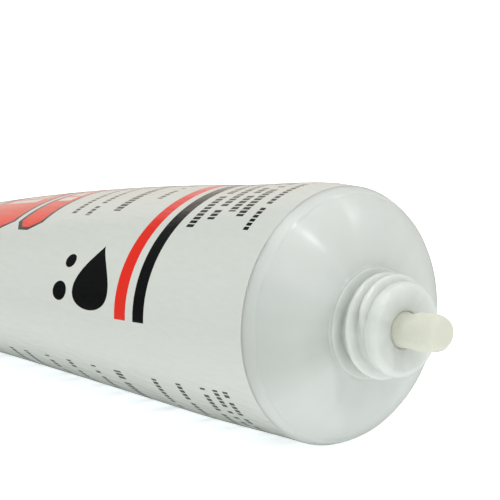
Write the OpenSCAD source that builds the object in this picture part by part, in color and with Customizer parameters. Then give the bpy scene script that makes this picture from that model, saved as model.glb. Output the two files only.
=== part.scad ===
// Squeeze tube of skin cream, lying on its back with its cap off and a little
// cream pressed out of the nozzle. Lengths are in millimetres. +X runs along
// the tube to its nozzle, +Z is up, and the front of the sleeve faces up.

/* [Sleeve] */
// Outer diameter of the sleeve at its round end
sleeve_d = 38; // [34:1:50]
// Thickness of the sleeve's plastic wall
sleeve_wall = 0.5; // [0.4:0.05:0.8]
// Length of the sleeve from its round end to the tip of the tail
sleeve_l = 139; // [110:1:180]
// Length at the head over which the sleeve stays a true circle
round_l = 4; // [4:0.5:12]
// How soon the sleeve starts to flatten: 1 is at once, 2 is late
flatten_start = 1.2; // [1.1:0.05:2]
// How full the tail is: 1 is a straight wedge, lower is plumper
flatten_end = 0.56; // [0.5:0.02:1]

/* [Rest] */
// How high the stiff round end is held above the surface that the tube lies on
head_lift = 0.7; // [0.5:0.1:3]
// How far the head tips up from that surface
head_tilt = 2.1; // [1:0.1:4]
// Length over which the soft sleeve sags from the round end to the surface
sag_l = 20; // [15:1:50]

/* [Seal] */
// Length of the flat heat-sealed band at the tail
seal_l = 6; // [4:0.5:10]
// Number of fine ribs pressed across each face of the band
seal_ribs = 5; // [3:1:8]
// Depth of the hollow between two ribs
seal_rib_depth = 0.12; // [0.05:0.01:0.15]

/* [Shoulder] */
// Thickness of the moulded shoulder
shoulder_wall = 1.3; // [1.2:0.1:2]
// Radius of the rounded edge between the sleeve's end and the shoulder's cone
shoulder_edge_r = 8.4; // [6:0.1:9.5]
// Angle at which that edge turns in from the sleeve's end
shoulder_edge_angle = 16; // [5:1:30]
// Angle of the shoulder's cone, up from a flat disc
shoulder_angle = 6; // [5:1:20]
// Length of the skirt that is lapped inside the sleeve
skirt_l = 3; // [2:0.5:4]
// Gap between the head and the sleeve, which their weld fills
lap_gap = 0.03; // [0.02:0.01:0.05]

/* [Neck] */
// Diameter of the thin flange at the foot of the neck
flange_d = 16.3; // [16:0.1:20]
// Height of the flange above the cone at its rim
flange_t = 0.6; // [0.5:0.1:1.2]
// Length of the neck from the flange to its tip
neck_l = 7.3; // [7.3:0.1:12]
// Thickness of the neck's wall at the roots of the thread
neck_wall = 1.3; // [1:0.1:1.6]
// Diameter of the smooth collar between the thread and the tip
collar_d = 13.6; // [13.5:0.1:15]
// Length of the collar, without its rounded edge
collar_l = 0.8; // [0.5:0.1:3]
// Radius that rounds the collar's outer edge
collar_edge_r = 0.9; // [0.3:0.1:0.9]

/* [Thread] */
// Diameter at the roots of the thread
root_d = 12.6; // [12:0.1:13.4]
// Diameter over the crests of the thread
thread_d = 15.2; // [14:0.1:15.6]
// Rise of the thread in one turn
thread_pitch = 2; // [1.8:0.1:2.2]
// Width of one thread at its root
thread_w = 1.4; // [1.2:0.1:1.7]
// Number of turns of the thread
thread_turns = 1.75; // [1.5:0.25:1.75]
// Turns over which the thread rises from the root at each end
thread_runout = 0.12; // [0.05:0.01:0.25]

/* [Outlet] */
// Diameter of the dished mouth in the neck's tip
mouth_d = 11.6; // [10:0.1:11.8]
// Depth of the dish from the tip down to the outlet
mouth_depth = 0.5; // [0.4:0.1:2]
// Diameter of the outlet at the bottom of the dish
outlet_d = 5.4; // [4:0.1:7]
// Thickness of the floor behind the outlet's rim
mouth_wall = 1; // [0.8:0.1:1.6]

/* [Cream] */
// Diameter of the cream past the outlet
bead_d = 4.9; // [3.6:0.1:6]
// Length of the cream that stands out of the outlet
bead_l = 7.5; // [6:0.5:14]
// How far the tip of the cream stands above the outlet's axis
bead_rise = 1; // [0:0.1:1.5]

/* [Hidden] */

// Sides of the sleeve's sections, and how many lie along its flattening stretch
ring_sides = 64;
taper_rings = 20;
// Sides and rings of the cream's bead, and how square its tip is
bead_sides = 32;
bead_rings = 14;
tip_power = 3;
// Steps in one turn of the thread
thread_steps = 32;
// Sides of the turned shapes where they are drawn
$fn = 96;
// How far pieces of one solid run into each other
sink = 0.3;
// Length past the outlet over which the cream draws in to its own thickness
waist_l = 0.6;
// Half the gap between the walls at the last section before the seal
closed_half = 0.02;
// Angle round the neck at which the thread starts
thread_from = -80;

sleeve_r = sleeve_d / 2;
inner_r = sleeve_r - sleeve_wall;
// The flats of the sleeve's sections lie this much closer to its axis
skirt_r = inner_r * cos(180 / ring_sides) - lap_gap;

// The rounded edge's outside and hollow side share one centre behind the rim
edge_centre_r = sleeve_r - shoulder_edge_r * cos(shoulder_edge_angle);
edge_centre_x = -shoulder_edge_r * sin(shoulder_edge_angle);
hollow_edge_r = shoulder_edge_r - shoulder_wall;
hollow_r = edge_centre_r + sqrt(pow(hollow_edge_r, 2) - pow(edge_centre_x, 2));

flange_r = flange_d / 2;
root_r = root_d / 2;
crest_h = (thread_d - root_d) / 2;
collar_r = collar_d / 2;
bore_r = root_r - neck_wall;
mouth_r = mouth_d / 2;
outlet_r = outlet_d / 2;
bead_r = bead_d / 2;

// Places along the head's own axis, from the plane of the sleeve's end
flange_x = cone_x(shoulder_edge_r, flange_r);
tip_x = flange_x + neck_l;
collar_x = tip_x - collar_edge_r - collar_l;
outlet_x = tip_x - mouth_depth;
thread_mid_x = (flange_x + flange_t + collar_x) / 2;

// Distance behind the round end at which the seal starts
band_d = sleeve_l - seal_l;

// How far the bead reaches past the underside's end, and the object's middle
reach = (outlet_x + bead_l) * cos(head_tilt) - (bead_rise + sleeve_r) * sin(head_tilt);
centre_x = (underside(0)[0] + reach + underside(sleeve_l)[0]) / 2;

// Middle of the sleeve's round end
head_place = under(0) + sleeve_r * [-sin(head_tilt), cos(head_tilt)];

function clamp01(v) = max(0, min(1, v));

// Where a cone that starts from a rounded edge has come in to radius r
function cone_x(edge, r) =
    edge_centre_x + edge * cos(shoulder_angle)
    + (edge_centre_r + edge * sin(shoulder_angle) - r) * tan(shoulder_angle);

// Place of a point that is given along and across the head's own axis
function in_head(p) = [
    head_place[0] + p[0] * cos(head_tilt) - p[2] * sin(head_tilt),
    p[1],
    head_place[1] + p[0] * sin(head_tilt) + p[2] * cos(head_tilt)
];

// Share of the sagging stretch that lies between its start and distance d
function sagged(d) = clamp01((d - round_l) / sag_l);

// Falls smoothly from 1 at the start of the sagging stretch to 0 at its end
function settle(d) = let (u = sagged(d)) 1 + (2 * u - 3) * u * u;

// How far the sleeve's sections lean, at distance d behind its round end
function lean(d) = head_tilt * settle(d);

// Point [x, z] of the underside: along the head's axis, then down to the surface
function underside(d) =
    let (u = sagged(d), straight = max(0, round_l - d))
    [
        straight * cos(head_tilt) - max(d, round_l),
        head_lift * settle(d) + tan(head_tilt) * (straight * cos(head_tilt) - sag_l * u * pow(1 - u, 2))
    ];

// The same point with the whole object centred on the origin
function under(d) = underside(d) - [centre_x, 0];

// Half height inside the sleeve, from its circle down to the seal
function half_height(d) =
    let (u = clamp01((d - round_l) / (band_d - round_l)))
    closed_half + (inner_r - closed_half) * pow(1 - pow(u, flatten_start), flatten_end);

// Half width of the ellipse of half height b that is as long round as the circle
function half_width(b) =
    let (k = 12 * inner_r - 8 * b)
    (k + sqrt(k * k - 24 * (6 * b * b - 12 * inner_r * b + 4 * inner_r * inner_r))) / 12;

// Section of the sleeve at distance d: its inside, moved out square by grow
function section(d, grow) =
    let (b = half_height(d), a = half_width(b), tilt = lean(d), foot = under(d))
    [for (i = [0 : ring_sides - 1])
        let (
            t = 360 * i / ring_sides,
            slope = norm([b * cos(t), a * sin(t)]),
            across = (a + grow * b / slope) * cos(t),
            up = b + sleeve_wall + (b + grow * a / slope) * sin(t)
        )
        [foot[0] - up * sin(tilt), across, foot[1] + up * cos(tilt)]];

// Distances of the tapering sections, closest together next to the seal
taper = [for (i = [taper_rings : -1 : 0])
    round_l + (band_d - round_l) * sin(90 * i / taper_rings)];

// Solid whose skin runs through rings in order and is closed at both ends.
// The diagonals join the same corners whichever way the skin runs, so that
// a skin laid inside another one matches it.
module loft(rings) {
    n = len(rings[0]);
    last = len(rings) - 1;
    skin = [for (k = [0 : last - 1], i = [0 : n - 1])
        let (
            a = k * n + i,
            b = k * n + (i + 1) % n,
            backwards = rings[k + 1][0][0] < rings[k][0][0]
        )
        each backwards
            ? [[a, a + n, b], [a + n, b + n, b]]
            : [[a, a + n, b + n], [a, b + n, b]]];
    ends = [[for (i = [0 : n - 1]) i], [for (i = [n - 1 : -1 : 0]) last * n + i]];
    polyhedron(points = [for (r = rings) each r], faces = concat(skin, ends));
}

// Turns a profile, drawn as [radius, place along the axis], about the head's axis
module turn_on_head() {
    translate([head_place[0], 0, head_place[1]])
        rotate([0, 90 - head_tilt, 0])
            rotate_extrude()
                children();
}

// Half section from the axis out to a rounded edge and its cone, in to radius r
module shoulder_outline(edge, r) {
    edge_x = edge_centre_x + edge * cos(shoulder_angle);
    intersection() {
        translate([edge_centre_r, edge_centre_x]) circle(r = edge);
        square([sleeve_r, edge_x]);
    }
    polygon([
        [0, 0],
        [edge_centre_r, 0],
        [edge_centre_r + edge * sin(shoulder_angle), edge_x],
        [r, cone_x(edge, r)],
        [0, cone_x(edge, r)]
    ]);
}

// Half section of what the head holds, from its skirt to the outlet
module hollow_outline() {
    translate([0, -skirt_l - sink]) square([hollow_r, skirt_l + sink]);
    shoulder_outline(hollow_edge_r, bore_r);
    square([bore_r, outlet_x - mouth_wall]);
    square([outlet_r, outlet_x]);
}

// Half section of the neck: flange, thread core, and collar with a rounded edge
module neck_outline() {
    translate([0, flange_x - sink]) square([flange_r, sink + flange_t]);
    translate([0, flange_x]) square([root_r, collar_x - flange_x]);
    polygon([
        [0, collar_x - (collar_r - root_r)],
        [root_r, collar_x - (collar_r - root_r)],
        [collar_r, collar_x],
        [collar_r, collar_x + collar_l],
        [0, collar_x + collar_l]
    ]);
    translate([collar_r - collar_edge_r, collar_x + collar_l]) circle(r = collar_edge_r);
    translate([0, collar_x]) square([collar_r - collar_edge_r, tip_x - collar_x]);
}

// Half section of the dished mouth, cut a little past the neck's tip
module mouth_outline() {
    polygon([
        [0, outlet_x],
        [outlet_r, outlet_x],
        [mouth_r, tip_x],
        [mouth_r, tip_x + sink],
        [0, tip_x + sink]
    ]);
}

// Half section of the moulded head's wall
module head_outline() {
    difference() {
        union() {
            translate([0, -skirt_l]) square([skirt_r, skirt_l + 2 * lap_gap]);
            intersection() {
                shoulder_outline(shoulder_edge_r, flange_r);
                translate([0, lap_gap]) square([sleeve_r, tip_x]);
            }
            neck_outline();
        }
        hollow_outline();
        mouth_outline();
    }
}

// One coarse right-handed thread that rises from the core and dies back into it
module thread() {
    steps = round(thread_steps * thread_turns);
    shape = [[-0.5, 0], [-0.36, 0.75], [-0.18, 1], [0.18, 1], [0.36, 0.75], [0.5, 0]];
    rings = [for (k = [0 : steps])
        let (
            turn = thread_turns * k / steps,
            rise = clamp01(min(turn, thread_turns - turn) / thread_runout),
            angle = thread_from + 360 * turn,
            x = thread_mid_x + thread_pitch * (turn - thread_turns / 2)
        )
        [for (p = shape)
            let (r = root_r - sink + p[1] * (sink / 2 + rise * (sink / 2 + crest_h)))
            in_head([x + p[0] * thread_w, r * cos(angle), r * sin(angle)])]];
    n = len(shape);
    skin = [for (k = [0 : steps - 1], i = [0 : n - 1])
        let (a = k * n + i, b = k * n + (i + 1) % n)
        each [[a, b, a + n], [b, b + n, a + n]]];
    ends = [[for (i = [n - 1 : -1 : 0]) i], [for (i = [0 : n - 1]) steps * n + i]];
    polyhedron(points = [for (r = rings) each r], faces = concat(skin, ends));
}

// Ring of the bead at distance l past the outlet: a waist, then a blunt tip
function bead_ring(l) =
    let (
        waist = bead_r + (outlet_r - sink / 2 - bead_r) * exp(-max(0, l) / waist_l),
        nose = clamp01((l - bead_l + bead_r) / bead_r),
        r = max(0.05, waist * pow(1 - pow(min(nose, 0.999), tip_power), 1 / tip_power)),
        rise = bead_rise * pow(max(0, l) / bead_l, 1.5)
    )
    [for (i = [0 : bead_sides - 1])
        let (t = 360 * i / bead_sides)
        in_head([outlet_x + l, r * cos(t), r * sin(t) + rise])];

// Extruded plastic sleeve, round at the head and pressed flat at the tail.
// Its skin runs forwards over the outside and back along the inside.
module sleeve() {
    band = [for (k = [2 * seal_ribs : -1 : 1])
        section(band_d + seal_l * k / seal_ribs / 2, sleeve_wall - (k % 2) * seal_rib_depth)];
    outside = concat(
        band,
        [for (d = taper) section(d, sleeve_wall)],
        [section(0, sleeve_wall)]
    );
    inside = concat(
        [section(0, 0)],
        [for (k = [taper_rings : -1 : 0]) section(taper[k], 0)]
    );
    color("#ecebe6") loft(concat(outside, inside));
}

// Moulded head: lapped skirt, shoulder cone, and a threaded neck with an outlet
module head() {
    color("#dbe3de") {
        turn_on_head() head_outline();
        thread();
    }
}

// Cream that fills the sleeve and the head and stands out of the outlet
module cream() {
    fill = concat([for (d = taper) section(d, 0)], [section(skirt_l, 0)]);
    far = bead_l + sink;
    bead = [for (k = [0 : bead_rings]) bead_ring(far * sin(90 * k / bead_rings) - sink)];
    color("#e8e3c3") {
        loft(fill);
        turn_on_head() hollow_outline();
        loft(bead);
    }
}

sleeve();
head();
cream();
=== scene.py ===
# Looks of a squeeze tube of skin cream that lies on its back with its cap off: a printed plastic sleeve, a
# moulded head with a threaded neck, and the cream that fills both. Lengths are in millimetres until a mesh
# is made from them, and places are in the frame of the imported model.

import math

import bmesh
import bpy
import numpy as np
from mathutils import Matrix, Vector


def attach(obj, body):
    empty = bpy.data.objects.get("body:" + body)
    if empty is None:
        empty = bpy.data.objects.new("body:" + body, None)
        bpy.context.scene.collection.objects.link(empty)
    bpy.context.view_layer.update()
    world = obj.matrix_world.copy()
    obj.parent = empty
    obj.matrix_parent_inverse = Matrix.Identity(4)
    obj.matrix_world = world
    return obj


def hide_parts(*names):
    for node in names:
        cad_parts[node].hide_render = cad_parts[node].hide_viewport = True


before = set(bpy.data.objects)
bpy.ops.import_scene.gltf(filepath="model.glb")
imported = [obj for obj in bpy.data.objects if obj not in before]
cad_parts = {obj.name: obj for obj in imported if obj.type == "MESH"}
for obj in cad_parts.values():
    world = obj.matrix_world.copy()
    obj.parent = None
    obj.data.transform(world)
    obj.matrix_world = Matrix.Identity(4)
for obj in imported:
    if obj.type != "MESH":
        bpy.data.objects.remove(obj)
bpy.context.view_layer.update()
MM = 0.001

# Sizes of the tube, as the model has them

SLEEVE_D = 38
SLEEVE_WALL = 0.5
SLEEVE_L = 139
ROUND_L = 4
FLATTEN_START = 1.2
FLATTEN_END = 0.56
CLOSED_HALF = 0.02
HEAD_LIFT = 0.7
HEAD_TILT = 2.1
SAG_L = 20
SEAL_L = 6
SEAL_RIBS = 5
SEAL_RIB_DEPTH = 0.12
SHOULDER_WALL = 1.3
SHOULDER_EDGE_R = 8.4
SHOULDER_EDGE_ANGLE = 16
SHOULDER_ANGLE = 6
SKIRT_L = 3
LAP_GAP = 0.03
FLANGE_D = 16.3
FLANGE_T = 0.6
NECK_L = 7.3
NECK_WALL = 1.3
COLLAR_D = 13.6
COLLAR_L = 0.8
COLLAR_EDGE_R = 0.9
ROOT_D = 12.6
THREAD_D = 15.2
THREAD_PITCH = 2
THREAD_W = 1.4
THREAD_TURNS = 1.75
THREAD_RUNOUT = 0.12
THREAD_FROM = -80
MOUTH_D = 11.6
MOUTH_DEPTH = 0.5
MOUTH_WALL = 1
OUTLET_D = 5.4
BEAD_D = 4.9
BEAD_L = 7.5
BEAD_RISE = 1

# Rounding that a moulded or cut edge has

SLEEVE_EDGE_R = 0.03
RIM_EDGE_R = 0.03
FLANGE_EDGE_R = 0.22
FLANGE_FOOT_R = 0.5
LIP_EDGE_R = 0.35
OUTLET_EDGE_R = 0.3

# Rounding of the sleeve's sealed end, of the head's inside corners, and of the outlet's back edge

SEAL_END_R = 0.2
SKIRT_END_R = 0.3
LAP_EDGE_R = 0.1
FLANGE_ROOT_R = 0.15
COLLAR_FOOT_R = 0.3
BACK_EDGE_R = 0.2

# Shallow step in the shoulder's skin: the angle at which it lies, half the angle that it takes, and its
# depth. Then the angle of the shoulder's arc that the rim's flat edge takes

STEP_AT = 30.5
STEP_HALF = 0.4
STEP_DEPTH = 0.1
RIM_TURN = 2

# Flanks of the thread, as shares of its width: how far from its middle they end, and how wide each is

FLANK_FOOT = 0.56
FLANK_SPAN = 0.4

# The bead, once out: how much thicker it gets, as a share, from where and over what length, how far its tip
# hangs lower, and what that takes off its reach

BEAD_SWELL = 0.1
SWELL_FROM = 1
SWELL_L = 2
BEAD_DROOP = 0.55
BEAD_SHORT = 0.07

# Where the bead's skin starts inside the outlet, its gap there, the length over which it draws in, how blunt
# its nose is, and the share of the nose at which a flat fan closes it

BEAD_START = 0.3
BEAD_GAP = 0.15
DRAW_IN_L = 0.6
BLUNT = 4
NOSE_END = 0.9998

# Lumps of the bead: size as a share of its radius, how many lie round it, their twist in radians a
# millimetre, and their start. They grow to their full size over a length

LUMPS = [(0.02, 2, 1.1, 0.4), (0.015, 3, -1.9, 2.0), (0.006, 7, 0.5, 0), (0.004, 11, -0.8, 1.0)]
LUMPS_GROW_L = 2

# Sides and rings of the grids, and the longest step along a profile

SLEEVE_SIDES = 256
HEAD_SIDES = 288
CREAM_SIDES = 160
RINGS_A_RIB = 14
TAPER_RINGS = 110
INSIDE_RINGS = 40
FRONT_RINGS = (3, 2, 1, 0.5)
LAP_RINGS = (0.5, 1.5, ROUND_L)
EDGE_RINGS = 6
BEAD_RINGS = 70
GIRTH_SAMPLES = 2048
THREAD_STEP = 0.09
PROFILE_STEP = 1.2

# Half angle from which a corner counts as straight, in radians, slack where radii are compared, and how near
# each other two points count as the same, in metres

STRAIGHT = 1.56
SLACK = 0.01
SAME_POINT = 1e-7

# Places that follow from the sizes

TILT = math.radians(HEAD_TILT)
SLEEVE_R = SLEEVE_D / 2
INNER_R = SLEEVE_R - SLEEVE_WALL
BAND_D = SLEEVE_L - SEAL_L
CONE = math.radians(SHOULDER_ANGLE)
EDGE_START = math.radians(SHOULDER_EDGE_ANGLE)
EDGE_CENTRE_R = SLEEVE_R - SHOULDER_EDGE_R * math.cos(EDGE_START)
EDGE_CENTRE_X = -SHOULDER_EDGE_R * math.sin(EDGE_START)


def cone_x(edge, r):
    """Place along the head's axis at which the cone from a rounded edge has come in to radius r."""
    start = EDGE_CENTRE_R + edge * math.sin(CONE)
    return EDGE_CENTRE_X + edge * math.cos(CONE) + (start - r) * math.tan(CONE)


FLANGE_R = FLANGE_D / 2
ROOT_R = ROOT_D / 2
CREST_H = (THREAD_D - ROOT_D) / 2
COLLAR_R = COLLAR_D / 2
BORE_R = ROOT_R - NECK_WALL
MOUTH_R = MOUTH_D / 2
OUTLET_R = OUTLET_D / 2
BEAD_R = BEAD_D / 2
SKIRT_R = INNER_R - LAP_GAP
HOLLOW_EDGE_R = SHOULDER_EDGE_R - SHOULDER_WALL
HOLLOW_R = EDGE_CENTRE_R + math.sqrt(HOLLOW_EDGE_R**2 - EDGE_CENTRE_X**2)
HOLLOW_START = math.degrees(math.asin(-EDGE_CENTRE_X / HOLLOW_EDGE_R))
FLANGE_X = cone_x(SHOULDER_EDGE_R, FLANGE_R)
TIP_X = FLANGE_X + NECK_L
COLLAR_X = TIP_X - COLLAR_EDGE_R - COLLAR_L
OUTLET_X = TIP_X - MOUTH_DEPTH
THREAD_MID_X = (FLANGE_X + FLANGE_T + COLLAR_X) / 2

# The sleeve


def settle(d):
    """Falls smoothly from 1 to 0 over the sagging stretch: 1 - 3 u squared + 2 u cubed."""
    u = np.clip((d - ROUND_L) / SAG_L, 0, 1)
    return 1 + (2 * u - 3) * u * u


def underside(d):
    """Point (x, z) of the underside at distance d: straight at the head's tilt, then down to the surface."""
    u = np.clip((d - ROUND_L) / SAG_L, 0, 1)
    straight = np.maximum(0, ROUND_L - d) * math.cos(TILT)
    x = straight - np.maximum(d, ROUND_L)
    z = HEAD_LIFT * settle(d) + math.tan(TILT) * (straight - SAG_L * u * (1 - u) ** 2)
    return x, z


REACH = (OUTLET_X + BEAD_L) * math.cos(TILT) - (BEAD_RISE + SLEEVE_R) * math.sin(TILT)
CENTRE_X = (underside(0)[0] + REACH + underside(SLEEVE_L)[0]) / 2
HEAD_X = underside(0)[0] - CENTRE_X - SLEEVE_R * math.sin(TILT)
HEAD_Z = underside(0)[1] + SLEEVE_R * math.cos(TILT)


def half_axes(d):
    """Half height and half width inside the sleeve: the height falls to nothing as a power curve, and the
    width is that of the ellipse that is as long round as the sleeve's circle."""
    u = np.clip((d - ROUND_L) / (BAND_D - ROUND_L), 0, 1)
    b = CLOSED_HALF + (INNER_R - CLOSED_HALF) * (1 - u**FLATTEN_START) ** FLATTEN_END
    k = 12 * INNER_R - 8 * b
    a = (k + np.sqrt(k * k - 24 * (6 * b * b - 12 * INNER_R * b + 4 * INNER_R**2))) / 12
    return b, a


def taper_place(share):
    """Distance at a share of the taper. The places lie closer together towards the seal, as a sine does."""
    return ROUND_L + (BAND_D - ROUND_L) * np.sin(0.5 * math.pi * share)


def sleeve_point(d, t, grow):
    """Point of the sleeve at distance d and angle t: an ellipse, pushed out square to itself by grow, that
    stands on the underside and leans with it."""
    b, a = half_axes(d)
    foot_x, foot_z = underside(d)
    lean = TILT * settle(d)
    slope = np.hypot(b * np.cos(t), a * np.sin(t))
    across = (a + grow * b / slope) * np.cos(t)
    up = b + SLEEVE_WALL + (b + grow * a / slope) * np.sin(t)
    return np.stack([foot_x - CENTRE_X - up * np.sin(lean), across, foot_z + up * np.cos(lean)], -1)


def girth_angles(d, sides):
    """Angles that cut the section at each distance in d into equal lengths, from the underside round."""
    fine = np.linspace(-0.5 * math.pi, 1.5 * math.pi, GIRTH_SAMPLES + 1)
    points = sleeve_point(d[:, None], fine[None, :], SLEEVE_WALL)
    steps = np.linalg.norm(np.diff(points, axis=1), axis=2)
    run = np.concatenate([np.zeros((len(d), 1)), np.cumsum(steps, axis=1)], axis=1)
    shares = np.linspace(0, 1, sides + 1)[:-1]
    return np.array([np.interp(shares * row[-1], row, fine) for row in run])


def join(rings, first=True, last=True):
    """Faces of a skin: side i of ring k joins side i + 1 and ring k + 1, and an end is closed by a fan."""
    rows, sides = rings.shape[:2]
    k, i = np.meshgrid(np.arange(rows - 1), np.arange(sides), indexing="ij")
    after = (i + 1) % sides
    quads = np.stack([k * sides + i, (k + 1) * sides + i, (k + 1) * sides + after, k * sides + after], -1)
    points = [rings.reshape(-1, 3)]
    fans = []
    side = np.arange(sides)
    if first:
        middle = rows * sides
        points.append(rings[0].mean(0)[None])
        fans.append(np.stack([np.full(sides, middle), side, (side + 1) % sides], -1))
    if last:
        middle = rows * sides + int(first)
        points.append(rings[-1].mean(0)[None])
        base = (rows - 1) * sides
        fans.append(np.stack([np.full(sides, middle), base + (side + 1) % sides, base + side], -1))
    return np.concatenate(points), quads.reshape(-1, 4), np.concatenate(fans) if fans else None


def skin(name, rings, shares=None, first=True, last=True):
    """Object whose skin runs through rings (rows by sides by 3, in millimetres). shares gives each row its
    place along the piece for the UV map, whose other coordinate is the share of the way round."""
    points, quads, fans = join(rings, first, last)
    mesh = bpy.data.meshes.new(name)
    faces = quads.tolist() + ([] if fans is None else fans.tolist())
    mesh.from_pydata((points * MM).tolist(), [], faces)
    if shares is not None:
        rows, sides = rings.shape[:2]
        k, i = np.meshgrid(np.arange(rows - 1), np.arange(sides), indexing="ij")
        u = np.stack([i, i, i + 1, i + 1], -1) / sides
        v = np.stack([shares[k], shares[k + 1], shares[k + 1], shares[k]], -1)
        uv = np.stack([u, v], -1).reshape(-1, 2)
        if fans is not None:
            ends = [shares[0]] * sides * first + [shares[-1]] * sides * last
            spread = np.tile(np.arange(sides) / sides, first + last)
            fan_uv = np.stack([np.repeat(spread, 3), np.repeat(np.array(ends), 3)], -1)
            uv = np.concatenate([uv, fan_uv])
        mesh.uv_layers.new(name="UVMap").data.foreach_set("uv", uv.ravel())
    mesh.validate()
    mesh.shade_smooth()
    made = bpy.data.objects.new(name, mesh)
    bpy.context.scene.collection.objects.link(made)
    return made


def sleeve_rows():
    """Distance and growth of each ring: the ribbed band, the taper, the rounded end, and back inside. The
    band's ribs are a cosine wave, and its end and the sleeve's front edge are arcs."""
    rows = []
    for q in np.linspace(0.5 * math.pi, 0, 5):
        rows.append((SLEEVE_L - SEAL_END_R * (1 - math.sin(q)), SLEEVE_WALL - SEAL_END_R * (1 - math.cos(q))))
    for d in np.linspace(SLEEVE_L - SEAL_END_R, BAND_D, SEAL_RIBS * RINGS_A_RIB)[1:]:
        rib = 0.5 - 0.5 * math.cos(2 * math.pi * SEAL_RIBS * (d - BAND_D) / SEAL_L)
        rows.append((d, SLEEVE_WALL - SEAL_RIB_DEPTH * rib))
    for k in range(TAPER_RINGS - 1, -1, -1):
        rows.append((taper_place(k / TAPER_RINGS), SLEEVE_WALL))
    rows += [(d, SLEEVE_WALL) for d in FRONT_RINGS]
    for q in np.linspace(0, 0.5 * math.pi, EDGE_RINGS):
        rows.append((SLEEVE_EDGE_R * (1 - math.sin(q)), SLEEVE_WALL - SLEEVE_EDGE_R * (1 - math.cos(q))))
    for q in np.linspace(0, 0.5 * math.pi, EDGE_RINGS):
        rows.append((SLEEVE_EDGE_R * (1 - math.cos(q)), SLEEVE_EDGE_R * (1 - math.sin(q))))
    rows += [(d, 0) for d in LAP_RINGS]
    for k in range(1, INSIDE_RINGS + 1):
        rows.append((taper_place(k / INSIDE_RINGS), 0))
    return np.array(rows)


def make_sleeve():
    """The sleeve's whole wall, as one closed skin that runs forwards outside and back inside."""
    rows = sleeve_rows()
    angles = girth_angles(rows[:, 0], SLEEVE_SIDES)
    rings = sleeve_point(rows[:, :1], angles, rows[:, 1:])
    return skin("tube_sleeve", rings, shares=rows[:, 0] / SLEEVE_L)


# The moulded head


def arc(x, r, radius, start, stop, steps):
    """Points (place, radius) of an arc round (x, r): the angle is measured from outwards to forwards."""
    q = np.radians(np.linspace(start, stop, steps))
    return np.stack([x + radius * np.sin(q), r + radius * np.cos(q)], -1)


def rounded(corners, steps=6):
    """Outline through corners (place, radius, rounding): each corner becomes the arc that touches both of its
    sides, except where it is straight or has no rounding."""
    corners = np.array(corners, float)
    at, size = corners[:, :2], corners[:, 2]
    line = [at[:1]]
    for k in range(1, len(at) - 1):
        back, on = at[k - 1] - at[k], at[k + 1] - at[k]
        back, on = back / np.linalg.norm(back), on / np.linalg.norm(on)
        half = 0.5 * math.acos(np.clip(back @ on, -1, 1))
        if size[k] == 0 or half > STRAIGHT:
            line.append(at[k][None])
            continue
        reach = size[k] / math.tan(half)
        bisector = (back + on) / np.linalg.norm(back + on)
        centre = at[k] + bisector * size[k] / math.sin(half)
        first, last = at[k] + back * reach - centre, at[k] + on * reach - centre
        turn = math.pi - 2 * half
        q = np.linspace(0, 1, steps)[:, None]
        line.append(centre + (np.sin((1 - q) * turn) * first + np.sin(q * turn) * last) / math.sin(turn))
    line.append(at[-1:])
    return np.concatenate(line)


def cut_long(line, longest):
    """The same line with points added so that no step is longer than longest."""
    out = [line[:1]]
    for a, b in zip(line[:-1], line[1:]):
        n = max(1, math.ceil(np.linalg.norm(b - a) / longest))
        out.append(a + (b - a) * (np.arange(1, n + 1) / n)[:, None])
    return np.concatenate(out)


def turned(line, sides, lift=None):
    """Rings of a line turned about the head's axis. lift(place, angle) is added to the radius."""
    q = np.linspace(0, 2 * math.pi, sides, endpoint=False)[None, :] - 0.5 * math.pi
    x, r = line[:, :1] + 0 * q, line[:, 1:] + 0 * q
    if lift is not None:
        r = r + lift(x, q)
    return on_head(x, r * np.cos(q), r * np.sin(q))


def on_head(x, y, z):
    """Place in the model of a point given along and across the head's own axis."""
    return np.stack([
        HEAD_X + x * math.cos(TILT) - z * math.sin(TILT),
        y + 0 * x,
        HEAD_Z + x * math.sin(TILT) + z * math.cos(TILT),
    ], -1)


def thread_lift(x, angle):
    """Height of the thread over the neck's core: a flat crest with smooth flanks, centred on a helix that
    climbs one pitch a turn, and sinking to nothing over the runout at both ends."""
    phase = (np.degrees(angle) - THREAD_FROM) / 360 % 1
    height = np.zeros_like(x)
    for lap in range(math.ceil(THREAD_TURNS)):
        turn = phase + lap
        rise = np.clip(np.minimum(turn, THREAD_TURNS - turn) / THREAD_RUNOUT, 0, 1)
        rise = rise * rise * (3 - 2 * rise)
        off = np.abs(x - THREAD_MID_X - THREAD_PITCH * (turn - THREAD_TURNS / 2)) / THREAD_W
        flank = np.clip((FLANK_FOOT - off) / FLANK_SPAN, 0, 1)
        height = np.maximum(height, CREST_H * rise * flank * flank * (3 - 2 * flank))
    return height


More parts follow.
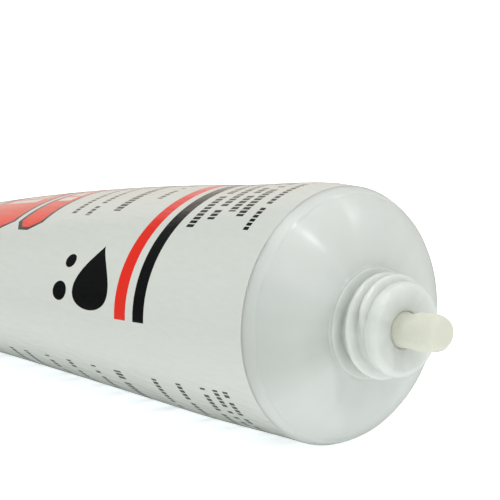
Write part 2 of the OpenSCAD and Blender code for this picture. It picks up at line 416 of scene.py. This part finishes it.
def head_line():
    """Half section of the head, outside from the skirt to the mouth and back through the bore."""
    edge = 90 - SHOULDER_ANGLE
    centre = EDGE_CENTRE_X, EDGE_CENTRE_R
    shoulder = np.concatenate([
        arc(*centre, SHOULDER_EDGE_R, SHOULDER_EDGE_ANGLE + RIM_TURN, STEP_AT - STEP_HALF, 9),
        arc(*centre, SHOULDER_EDGE_R - STEP_DEPTH, STEP_AT + STEP_HALF, edge, 28)])
    skirt = rounded([
        (-SKIRT_L, HOLLOW_R, 0),
        (-SKIRT_L, SKIRT_R, SKIRT_END_R),
        (LAP_GAP, SKIRT_R, LAP_EDGE_R),
        (LAP_GAP, SLEEVE_R, RIM_EDGE_R),
        tuple(shoulder[0]) + (0,),
    ])
    neck = rounded([
        tuple(shoulder[-1]) + (0,),
        (FLANGE_X, FLANGE_R, FLANGE_FOOT_R),
        (FLANGE_X + FLANGE_T, FLANGE_R, FLANGE_EDGE_R),
        (FLANGE_X + FLANGE_T, ROOT_R, FLANGE_ROOT_R),
        (COLLAR_X - (COLLAR_R - ROOT_R), ROOT_R, COLLAR_FOOT_R),
        (COLLAR_X, COLLAR_R, COLLAR_FOOT_R),
        (TIP_X, COLLAR_R, COLLAR_EDGE_R),
        (TIP_X, MOUTH_R, LIP_EDGE_R),
        (OUTLET_X, OUTLET_R, OUTLET_EDGE_R),
        (OUTLET_X - MOUTH_WALL, OUTLET_R, BACK_EDGE_R),
        (OUTLET_X - MOUTH_WALL, BORE_R, BACK_EDGE_R),
        (cone_x(HOLLOW_EDGE_R, BORE_R), BORE_R, 0),
    ], steps=9)
    hollow = arc(*centre, HOLLOW_EDGE_R, edge, HOLLOW_START, 16)
    outside = np.concatenate([cut_long(np.concatenate([skirt, shoulder[1:]]), PROFILE_STEP), neck[1:]])
    at_thread = (outside[:, 1] < COLLAR_R) & (outside[:, 0] > FLANGE_X + 0.5 * FLANGE_T) \
        & (outside[:, 1] > ROOT_R - SLACK) & (outside[:, 0] < COLLAR_X)
    first, last = np.flatnonzero(at_thread)[[0, -1]]
    threaded = cut_long(outside[first:last + 1], THREAD_STEP)
    line = np.concatenate([outside[:first], threaded, outside[last + 1:], hollow])
    return cut_long(line, PROFILE_STEP)


HEAD_LINE = head_line()
# Share of that line at which the neck begins
NECK_SHARE = np.argmax(HEAD_LINE[:, 0] > FLANGE_X) / len(HEAD_LINE)


def make_head():
    """The head as one turned skin, with the thread raised on its neck. The last ring meets the first."""
    outer = np.arange(len(HEAD_LINE))[:, None] < np.argmax(HEAD_LINE[:, 0])

    def lift(x, q):
        """Height of the thread on the outside of the neck, and 0 elsewhere."""
        on_neck = (x > FLANGE_X + FLANGE_T) & (x < COLLAR_X)
        return np.where(on_neck & outer, thread_lift(x, q), 0)

    rings = turned(HEAD_LINE, HEAD_SIDES, lift)
    rings = np.concatenate([rings, rings[:1]])
    made = skin("tube_head", rings, shares=np.linspace(0, 1, len(rings)), first=False, last=False)
    weld(made)
    return made


def weld(made):
    """Merges points that lie on each other and turns all faces outwards."""
    work = bmesh.new()
    work.from_mesh(made.data)
    bmesh.ops.remove_doubles(work, verts=work.verts, dist=SAME_POINT)
    bmesh.ops.recalc_face_normals(work, faces=work.faces)
    work.to_mesh(made.data)
    work.free()
    made.data.shade_smooth()


# The cream


def make_cream():
    """The filling and the bead as one skin: it follows the inside of the sleeve, the hollow of the head, the
    bore and the outlet. The bead draws in from the outlet exponentially, swells, and closes as the fourth
    root of 1 - nose to the fourth. Sines round it make its lumps, and powers of the place along it make its
    bend."""
    back = np.append(taper_place(np.linspace(1, 0, INSIDE_RINGS)), SKIRT_L)
    inside = sleeve_point(back[:, None], girth_angles(back, CREAM_SIDES), 0)
    hollow = arc(EDGE_CENTRE_X, EDGE_CENTRE_R, HOLLOW_EDGE_R, HOLLOW_START, 90 - SHOULDER_ANGLE, 12)
    held = turned(np.array([
        (-SKIRT_L, HOLLOW_R),
        *hollow,
        (cone_x(HOLLOW_EDGE_R, BORE_R), BORE_R),
        (OUTLET_X - MOUTH_WALL, BORE_R),
        (OUTLET_X - MOUTH_WALL, OUTLET_R),
        (OUTLET_X - BEAD_START, OUTLET_R),
    ]), CREAM_SIDES)
    q = np.linspace(0, 2 * math.pi, CREAM_SIDES, endpoint=False)[None, :] - 0.5 * math.pi
    along = np.sin(np.linspace(0, 0.5 * math.pi, BEAD_RINGS))[:, None]
    place = (BEAD_L - BEAD_SHORT) * along
    swell = 1 + BEAD_SWELL * np.clip((place - SWELL_FROM) / SWELL_L, 0, 1)
    waist = BEAD_R * swell + (OUTLET_R - BEAD_GAP - BEAD_R) * np.exp(-place / DRAW_IN_L)
    nose = np.clip((place - place[-1] + BEAD_R) / BEAD_R, 0, NOSE_END)
    radius = waist * (1 - nose**BLUNT) ** (1 / BLUNT)
    lumps = sum(size * np.sin(count * q + twist * place + start) for size, count, twist, start in LUMPS)
    radius = radius * (1 + lumps * np.clip(place / LUMPS_GROW_L, 0, 1))
    rise = BEAD_RISE * along**1.5 - BEAD_DROOP * along**3
    bead = on_head(OUTLET_X + place + 0 * q, radius * np.cos(q), radius * np.sin(q) + rise)
    return skin("cream_bead", np.concatenate([inside, held, bead]))


# Materials


def linear(code):
    """Linear colour of an sRGB hex code."""
    parts = [int(code[k:k + 2], 16) / 255 for k in (1, 3, 5)]
    return tuple(p / 12.92 if p <= 0.04045 else ((p + 0.055) / 1.055) ** 2.4 for p in parts) + (1.0,)


def add(tree, kind, *inputs, stops=(), **settings):
    """Adds a node and gives a colour ramp its stops (position, colour). inputs go to the node's sockets in
    order, and settings to the property (lower case), the socket (upper case) or the socket number (_6) of
    that name. A socket is linked to a socket or to a node's first output, and set to anything else."""
    made = tree.nodes.new(kind)
    given = list(enumerate(inputs))
    for name, value in settings.items():
        if name[0].islower():
            setattr(made, name, value)
        else:
            given.append((int(name[1:]) if name[0] == "_" else name.replace("_", " "), value))
    for k, (position, held) in enumerate(stops):
        stop = made.color_ramp.elements[k] if k < 2 else made.color_ramp.elements.new(position)
        stop.position = position
        stop.color = held
    for name, value in given:
        source = value.outputs[0] if isinstance(value, bpy.types.Node) else value
        if isinstance(source, bpy.types.NodeSocket):
            tree.links.new(source, made.inputs[name])
        else:
            made.inputs[name].default_value = source
    return made


def material(name):
    """An empty node material and its tree."""
    made = bpy.data.materials.new(name)
    made.use_nodes = True
    made.node_tree.nodes.clear()
    return made, made.node_tree


MATH = "ShaderNodeMath"

# Print on the sleeve, in millimetres: S runs round the girth from the middle of the front, D runs back from
# the round end. Nothing in it is a letter: words are rows of plain bars, and the rest are simple shapes.

GIRTH = 2 * math.pi * SLEEVE_R
FRONT_HALF = 31.5
STRIPE_W = 2.4
RED_STRIPE_D = 26.2
BLACK_STRIPE_D = 22.2
# Where the drop's point lies, its length and width, and how hollow its flanks are
DROP_S, DROP_D, DROP_L, DROP_W = 20.6, 33.2, 10.2, 5.6
DROP_HOLLOW = 1.25
# Place of each dot round and along, and its radius
DOTS = [(28.4, 40.0, 1.5), (23.6, 39.2, 1.1)]
# Badges: middle, half width and half length of each, the width of their outline, and how much of their
# corners is cut, from 0.5 for nothing to 1 for ends that come to a point
BADGES = [(55.2, 3.1, 15.7), (66.6, 7.2, 14.0)]
BADGE_LINE = 0.7
CORNER_CUT = 0.72
# Rows of bars: middle, height and half length of each. Those of the badges come first
BADGE_ROWS = [(55.2, 2.9, 12.6), (66.6, 7.4, 10.0)]
BLACK_ROWS = [(5.0, 1.3, 16.7), (8.6, 1.4, 13.4), (11.3, 1.4, 12.4), (14.6, 1.4, 14.2), (18.1, 1.5, 16.1),
              (37.3, 1.7, 13.3)]
GREY_ROWS = [(31.9, 1.0, 9.3), (43.0, 1.2, 14.7), (47.0, 1.2, 14.8)]
BACK_HALF = 18.6
BACK_ROWS = [6.3, 8.5, 11.2, 16.4, 22.0, 30.4, 36.0, 42.0, 47.7, 52.7, 56.6, 64.0, 72.0, 80.0, 96.0]
BACK_ROW_H = 1.1
# Length of one cell of a bar, on the badges and elsewhere, half the share of it that has ink, and the share
# of cells that is left out
BADGE_CELL = 2.5
CELL = 0.8
INK_HALF = 0.37
LEFT_OUT = 0.12


def strip(tree, value, middle, half):
    """1 where value lies within half of middle, else 0."""
    return add(tree, MATH, value, middle, half, operation="COMPARE")


def both(tree, *masks):
    """Product of masks."""
    product = masks[0]
    for mask in masks[1:]:
        product = add(tree, MATH, product, mask, operation="MULTIPLY")
    return product


def either(tree, masks):
    """Highest of the masks."""
    highest = masks[0]
    for mask in masks[1:]:
        highest = add(tree, MATH, highest, mask, operation="MAXIMUM")
    return highest


def gap(tree, value, place):
    """How far value lies from place, either way."""
    return add(tree, MATH, add(tree, MATH, value, place, operation="SUBTRACT"), operation="ABSOLUTE")


def apart(tree, s, d, at_s, at_d):
    """Distance from a point."""
    along, across = gap(tree, s, at_s), gap(tree, d, at_d)
    square = add(tree, MATH, along, along, operation="MULTIPLY")
    square = add(tree, MATH, across, across, square, operation="MULTIPLY_ADD")
    return add(tree, MATH, square, operation="SQRT")


def cornered(tree, s, d, at_d, half_l):
    """Distance from a line of half length half_l that runs round the girth, measured so that what lies
    equally far from it is a bar with cut corners."""
    past_end = add(tree, MATH, gap(tree, s, 0), half_l, operation="SUBTRACT")
    beyond = add(tree, MATH, past_end, 0, operation="MAXIMUM")
    across = gap(tree, d, at_d)
    slanted = add(tree, MATH, across, beyond, operation="ADD")
    slanted = add(tree, MATH, slanted, CORNER_CUT, operation="MULTIPLY")
    return either(tree, [beyond, across, slanted])


def drop(tree, s, d):
    """Drop whose half width grows from its point as a power of the share of its length, and closes its round
    end as the root of the share that is left."""
    share = add(tree, MATH, s, DROP_S, operation="SUBTRACT")
    share = add(tree, "ShaderNodeClamp", add(tree, MATH, share, DROP_L, operation="DIVIDE"))
    flank = add(tree, MATH, share, DROP_HOLLOW, operation="POWER")
    end = add(tree, MATH, add(tree, MATH, 1, share, operation="SUBTRACT"), operation="SQRT")
    end = add(tree, MATH, end, 2 * DROP_W, operation="MULTIPLY")
    half = add(tree, MATH, flank, end, operation="MULTIPLY")
    return add(tree, MATH, gap(tree, d, DROP_D), half, operation="LESS_THAN")


def bars(tree, s, d, from_middle, rows, cell_l=CELL):
    """Rows of plain bars, cut into cells. A stepped ramp along the tube holds each row's half length in red
    and its number in green, noise leaves out cells here and there, and from_middle is the distance from the
    rows' middle line."""
    longest = max(half for _, _, half in rows)
    steps = [(0, (0, 0, 0, 1))]
    for k, (middle, height, half) in enumerate(rows):
        steps += [((middle - height / 2) / SLEEVE_L, (half / longest, (k + 1) / len(rows), 0, 1)),
                  ((middle + height / 2) / SLEEVE_L, (0, 0, 0, 1))]
    ramp = add(tree, "ShaderNodeValToRGB", add(tree, MATH, d, SLEEVE_L, operation="DIVIDE"), stops=steps)
    ramp.color_ramp.interpolation = "CONSTANT"
    row = add(tree, "ShaderNodeSeparateColor", ramp)
    reach = add(tree, MATH, row, longest, operation="MULTIPLY")
    inside = add(tree, MATH, from_middle, reach, operation="LESS_THAN")
    cell = add(tree, MATH, s, cell_l, operation="DIVIDE")
    spot = add(tree, "ShaderNodeCombineXYZ", add(tree, MATH, cell, operation="FLOOR"), row.outputs[1])
    noise = add(tree, "ShaderNodeTexWhiteNoise", spot, noise_dimensions="2D")
    kept = add(tree, MATH, noise, LEFT_OUT, operation="GREATER_THAN")
    in_cell = add(tree, MATH, cell, operation="FRACT")
    return both(tree, inside, kept, strip(tree, in_cell, 0.5, INK_HALF))


# Patterns, in repeats a metre: shades in the plastic 17 mm apart, swells of the wall 22 mm, the grain of the
# varnish 0.6 mm, and the cream's curds 2.4 mm, both coarser than real so that they show. Then the number of
# rays that the plastic's flow leaves round the head

SHADES = 60
SWELLS = 45
GRAIN = 1800
CURDS = 420
RAYS = 18


def varnished_polyethylene():
    """Extruded polyethylene, printed and varnished: cool white, smooth, with a clear shine that the ink
    shares, and a faint unevenness where the filling bears on the thin wall."""
    made, tree = material("printed_varnished_polyethylene")
    place = add(tree, "ShaderNodeSeparateXYZ", add(tree, "ShaderNodeUVMap", uv_map="UVMap"))
    s = add(tree, MATH, place, GIRTH, -GIRTH / 2, operation="MULTIPLY_ADD")
    d = add(tree, MATH, place.outputs[1], SLEEVE_L, operation="MULTIPLY")
    from_front = gap(tree, s, 0)
    from_back = add(tree, MATH, GIRTH / 2, from_front, operation="SUBTRACT")
    front = strip(tree, s, 0, FRONT_HALF)
    layers = []
    for middle, half_w, half_l in BADGES:
        far = cornered(tree, s, d, middle, half_l)
        layers.append(("#3B3F45", add(tree, MATH, far, half_w, operation="LESS_THAN")))
        layers.append(("#EE4632", add(tree, MATH, far, half_w - BADGE_LINE, operation="LESS_THAN")))
    layers.append(("#E6E2DA", bars(tree, s, d, from_front, BADGE_ROWS, BADGE_CELL)))
    layers.append(("#EA2A1A", both(tree, front, strip(tree, d, RED_STRIPE_D, STRIPE_W / 2))))
    black = [both(tree, front, strip(tree, d, BLACK_STRIPE_D, STRIPE_W / 2)), drop(tree, s, d)]
    for at_s, at_d, dot_r in DOTS:
        black.append(add(tree, MATH, apart(tree, s, d, at_s, at_d), dot_r, operation="LESS_THAN"))
    black.append(bars(tree, s, d, from_front, BLACK_ROWS))
    layers.append(("#0B0D0E", either(tree, black)))
    grey = [bars(tree, s, d, from_front, GREY_ROWS),
            bars(tree, s, d, from_back, [(middle, BACK_ROW_H, BACK_HALF) for middle in BACK_ROWS])]
    layers.append(("#3A3E3D", either(tree, grey)))
    shades = add(tree, "ShaderNodeTexNoise", Scale=SHADES, Detail=2)
    colour = add(tree, "ShaderNodeMix", shades, data_type="RGBA", _6=linear("#D4D9D1"), _7=linear("#DBE0D9"))
    for code, mask in layers:
        colour = add(tree, "ShaderNodeMix", mask, data_type="RGBA", _6=colour.outputs[2], _7=linear(code))
    swell = add(tree, "ShaderNodeTexNoise", Scale=SWELLS, Detail=1)
    grain = add(tree, "ShaderNodeTexNoise", Scale=GRAIN, Detail=2)
    height = add(tree, MATH, grain, 0.02, swell, operation="MULTIPLY_ADD")
    bump = add(tree, "ShaderNodeBump", Height=height, Strength=0.25, Distance=0.0004)
    shader = add(tree, "ShaderNodeBsdfPrincipled", Base_Color=colour.outputs[2], Roughness=0.4, IOR=1.33,
                 Specular_IOR_Level=0.25, Coat_Weight=1, Coat_Roughness=0.1, Coat_IOR=1.42,
                 Normal=bump, Coat_Normal=bump)
    add(tree, "ShaderNodeOutputMaterial", shader)
    return made


# Painted shade on the head: where it greys the side that faces the camera most, and how far round that
# reaches, as shares of the way round. Then how light the rest of the head and its neck are between the shaded
# and the unshaded tone, and how much the flow changes that, in rays that are partly painted highlight streaks

PAINTED_SHADE_SIDE = 0.78
PAINTED_SHADE_SPREAD = 0.13
UNSHADED_LIGHT = 0.85
NECK_LIGHT = 0.6
FLOW_AND_PAINTED_HIGHLIGHT = 0.3


def moulded_polyethylene():
    """Injection moulded polyethylene: milky and a little see-through, with a painted shade that greys the
    side that faces the camera. The turned mould leaves fine marks round the axis, which draw the lamps'
    reflections out into streaks towards the neck, and the plastic's flow from the gate leaves faint rays,
    whose tones are partly painted highlight streaks."""
    made, tree = material("moulded_milky_polyethylene")
    around = add(tree, "ShaderNodeSeparateXYZ", add(tree, "ShaderNodeUVMap", uv_map="UVMap"))
    # Flow rays: they break up the shine, and in the colour they are partly painted highlight streaks
    flow = add(tree, "ShaderNodeTexNoise", noise_dimensions="1D", W=around, Scale=RAYS, Detail=1)
    bump = add(tree, "ShaderNodeBump", Height=flow, Strength=1, Distance=0.00016)
    # Painted shade: the level falls to the darker tone round the side that faces the camera, less far on the
    # neck
    unshaded_level = add(tree, "ShaderNodeMapRange", gap(tree, around, PAINTED_SHADE_SIDE), From_Max=PAINTED_SHADE_SPREAD, To_Min=0,
               To_Max=UNSHADED_LIGHT, interpolation_type="SMOOTHSTEP")
    neck = add(tree, MATH, around.outputs[1], NECK_SHARE, operation="GREATER_THAN")
    neck = add(tree, MATH, neck, NECK_LIGHT, operation="MULTIPLY")
    level = add(tree, MATH, either(tree, [unshaded_level, neck]), FLOW_AND_PAINTED_HIGHLIGHT / 2, operation="SUBTRACT")
    level = add(tree, MATH, flow, FLOW_AND_PAINTED_HIGHLIGHT, level, operation="MULTIPLY_ADD")
    # The darker tone is the painted shade, the lighter one the plastic's own colour
    tone = add(tree, "ShaderNodeMix", level, data_type="RGBA", _6=linear("#C6CCC6"), _7=linear("#DCE1DC"))
    tangent = add(tree, "ShaderNodeTangent", direction_type="UV_MAP", uv_map="UVMap")
    shader = add(tree, "ShaderNodeBsdfPrincipled", Base_Color=tone.outputs[2], Roughness=0.28, IOR=1.52,
                 Anisotropic=1, Anisotropic_Rotation=0.25, Tangent=tangent, Normal=bump,
                 Subsurface_Weight=0.7, Subsurface_Radius=(1, 1, 1), Subsurface_Scale=0.0025)
    add(tree, "ShaderNodeOutputMaterial", shader)
    return made


def cream():
    """Emulsion of oil and water, pressed out of a round hole: pale yellow, soft and wet."""
    made, tree = material("pressed_out_cream")
    curds = add(tree, "ShaderNodeTexNoise", Scale=CURDS, Detail=2)
    tone = add(tree, "ShaderNodeMix", curds, data_type="RGBA", _6=linear("#D8DAC4"), _7=linear("#E7E9DF"))
    bump = add(tree, "ShaderNodeBump", Height=curds, Strength=1, Distance=0.0001)
    shader = add(tree, "ShaderNodeBsdfPrincipled", Base_Color=tone.outputs[2], Roughness=0.38, IOR=1.45,
                 Normal=bump, Subsurface_Weight=0.5, Subsurface_Radius=(1, 0.95, 0.8), Subsurface_Scale=0.001)
    add(tree, "ShaderNodeOutputMaterial", shader)
    return made


def dress(made, node, look):
    """Puts a piece in the place of a node of the model and gives it its look."""
    made.data.materials.append(look)
    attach(made, "root")
    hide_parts(node)


dress(make_sleeve(), "sleeve", varnished_polyethylene())
dress(make_head(), "head", moulded_polyethylene())
dress(make_cream(), "cream", cream())

# Floor, light and camera

FLOOR_SPAN = 3
# Light that the floor gives off to the tube, what the camera sees on top of it, its tint, and the floor's
# own colour
FLOOR_GLOW = 0.28
FLOOR_LIFT = 0.44
FLOOR_TINT = (0.93, 0.98, 1, 1)
PAPER = (0.9, 0.9, 0.9, 1)
# What the floor looks like in glossy surfaces, from the camera's side to far behind the tube, in metres
MIRRORED_FROM, MIRRORED_TO = -0.06, 0.16
MIRRORED = [(0, (0.05, 0.05, 0.05, 1)), (0.2, (0.7, 0.7, 0.7, 1)), (0.5, (0.7, 0.7, 0.7, 1)),
            (0.9, (0.44, 0.39, 0.33, 1))]
# Soft light of the tent, then the direction, the colour and the dim surroundings of the backdrop that glossy
# surfaces mirror
SKY_LIGHT = 0.66
BEHIND = (-0.74, 0.67, 0)
BACKDROP = (0.74, 0.67, 0.6, 1)
DIM = (0.08, 0.08, 0.08, 1)
# How far the lamps stand from the head, in metres
LAMP_AWAY = 0.9


def seen_directly(tree):
    """1 for rays that come from the camera, or through something clear, else 0."""
    path = add(tree, "ShaderNodeLightPath")
    return either(tree, [path.outputs["Is Camera Ray"], path.outputs["Is Transmission Ray"]])


def make_floor():
    """Plain white surface under the tube, which keeps its shadow and is white where it has none. What glossy
    surfaces mirror of it is dim on the camera's side and dull far behind the tube."""
    half = FLOOR_SPAN / 2
    mesh = bpy.data.meshes.new("floor")
    corners = [(-half, -half, 0), (half, -half, 0), (half, half, 0), (-half, half, 0)]
    mesh.from_pydata(corners, [], [(0, 1, 2, 3)])
    made = bpy.data.objects.new("floor", mesh)
    bpy.context.scene.collection.objects.link(made)
    look, tree = material("matt_white_paper")
    glossy = add(tree, "ShaderNodeLightPath").outputs["Is Glossy Ray"]
    place = add(tree, "ShaderNodeSeparateXYZ", add(tree, "ShaderNodeTexCoord").outputs["Object"])
    share = add(tree, "ShaderNodeMapRange", place.outputs[1], From_Min=MIRRORED_FROM, From_Max=MIRRORED_TO)
    mirrored = add(tree, "ShaderNodeValToRGB", share, stops=MIRRORED)
    shade = add(tree, "ShaderNodeMix", glossy, data_type="RGBA", _6=PAPER, _7=mirrored)
    paper = add(tree, "ShaderNodeBsdfDiffuse", shade.outputs[2])
    level = add(tree, MATH, seen_directly(tree), FLOOR_LIFT, FLOOR_GLOW, operation="MULTIPLY_ADD")
    level = add(tree, MATH, glossy, -FLOOR_GLOW, level, operation="MULTIPLY_ADD")
    glow = add(tree, "ShaderNodeEmission", FLOOR_TINT, level)
    add(tree, "ShaderNodeOutputMaterial", add(tree, "ShaderNodeAddShader", paper, glow))
    mesh.materials.append(look)


def make_world():
    """Light tent: white to the camera and even for soft light. What the tube mirrors is bright overhead and
    behind it, and dim low down on the camera's side."""
    world = bpy.data.worlds.new("studio")
    bpy.context.scene.world = world
    world.use_nodes = True
    tree = world.node_tree
    tree.nodes.clear()
    white = (1, 1, 1, 1)
    direction = add(tree, "ShaderNodeTexCoord").outputs["Generated"]
    upward = add(tree, "ShaderNodeSeparateXYZ", direction).outputs[2]
    behind = add(tree, "ShaderNodeVectorMath", direction, BEHIND, operation="DOT_PRODUCT").outputs["Value"]
    roof = add(tree, "ShaderNodeMapRange", upward, From_Min=0.68, From_Max=0.97,
               interpolation_type="SMOOTHSTEP")
    backdrop = add(tree, "ShaderNodeMapRange", behind, From_Min=0.55, From_Max=0.82,
                   interpolation_type="SMOOTHSTEP")
    low = add(tree, "ShaderNodeMix", backdrop, data_type="RGBA", _6=DIM, _7=BACKDROP)
    mirrored = add(tree, "ShaderNodeMix", roof, data_type="RGBA", _6=low.outputs[2], _7=white)
    glossy = add(tree, "ShaderNodeLightPath").outputs["Is Glossy Ray"]
    soft = (SKY_LIGHT, SKY_LIGHT, SKY_LIGHT, 1)
    level = add(tree, "ShaderNodeMix", glossy, data_type="RGBA", _6=soft, _7=mirrored.outputs[2])
    seen = add(tree, "ShaderNodeMix", seen_directly(tree), data_type="RGBA", _6=level.outputs[2], _7=white)
    add(tree, "ShaderNodeOutputWorld", add(tree, "ShaderNodeBackground", seen.outputs[2]))


def add_lamp(name, azimuth, elevation, size, level):
    """Soft rectangular lamp seen from the head at an angle from +X and above the floor, in degrees. Its level
    is its brightness beside white."""
    a, e = math.radians(azimuth), math.radians(elevation)
    towards = Vector((math.cos(a) * math.cos(e), math.sin(a) * math.cos(e), math.sin(e)))
    light = bpy.data.lights.new(name, "AREA")
    light.shape = "RECTANGLE"
    light.size, light.size_y = size
    light.energy = level * math.pi * size[0] * size[1]
    made = bpy.data.objects.new(name, light)
    made.location = Vector((HEAD_X * MM, 0, HEAD_Z * MM)) + towards * LAMP_AWAY
    made.rotation_euler = towards.to_track_quat("Z", "Y").to_euler()
    bpy.context.scene.collection.objects.link(made)


make_floor()
make_world()
add_lamp("soft_box_above", -140, 65, (0.5, 0.5), 2.3)
add_lamp("lamp_right", -6, 49, (0.085, 0.085), 58.0)
add_lamp("lamp_behind", 52, 45, (0.1, 0.1), 20.0)
add_lamp("lamp_front", -30, 29, (0.08, 0.08), 8.0)

# Camera that was solved from the photograph: place in millimetres, angles in radians, and the focal length
# and middle of its picture in pixels of a square picture

PICTURE = 500
SENSOR = 36
CAMERA_AT = (207.13, -206.486, 76.258)
CAMERA_YAW = 0.834
CAMERA_PITCH = 0.162
CAMERA_ROLL = 0.066
FOCAL_PX = 2059.4
MIDDLE_PX = (251.5, 251.5)


def make_camera():
    """Camera that looks along its yaw and pitch, turned about its own axis by its roll."""
    yaw, pitch, roll = CAMERA_YAW, CAMERA_PITCH, CAMERA_ROLL
    ahead = Vector((-math.sin(yaw) * math.cos(pitch), math.cos(yaw) * math.cos(pitch), -math.sin(pitch)))
    level = Vector((math.cos(yaw), math.sin(yaw), 0))
    upright = level.cross(ahead)
    right = math.cos(roll) * level + math.sin(roll) * upright
    up = -math.sin(roll) * level + math.cos(roll) * upright
    lens = bpy.data.cameras.new("camera")
    lens.sensor_width = SENSOR
    lens.lens = FOCAL_PX / PICTURE * SENSOR
    lens.shift_x = (PICTURE / 2 - MIDDLE_PX[0]) / PICTURE
    lens.shift_y = (MIDDLE_PX[1] - PICTURE / 2) / PICTURE
    lens.clip_start = 0.01
    made = bpy.data.objects.new("camera", lens)
    turn = Matrix((right, up, -ahead)).transposed().to_4x4()
    place = Vector(CAMERA_AT) - Vector((CENTRE_X, 0, 0))
    made.matrix_world = Matrix.Translation(place * MM) @ turn
    bpy.context.scene.collection.objects.link(made)
    bpy.context.scene.camera = made


make_camera()

bpy.context.scene.view_settings.view_transform = "Standard"
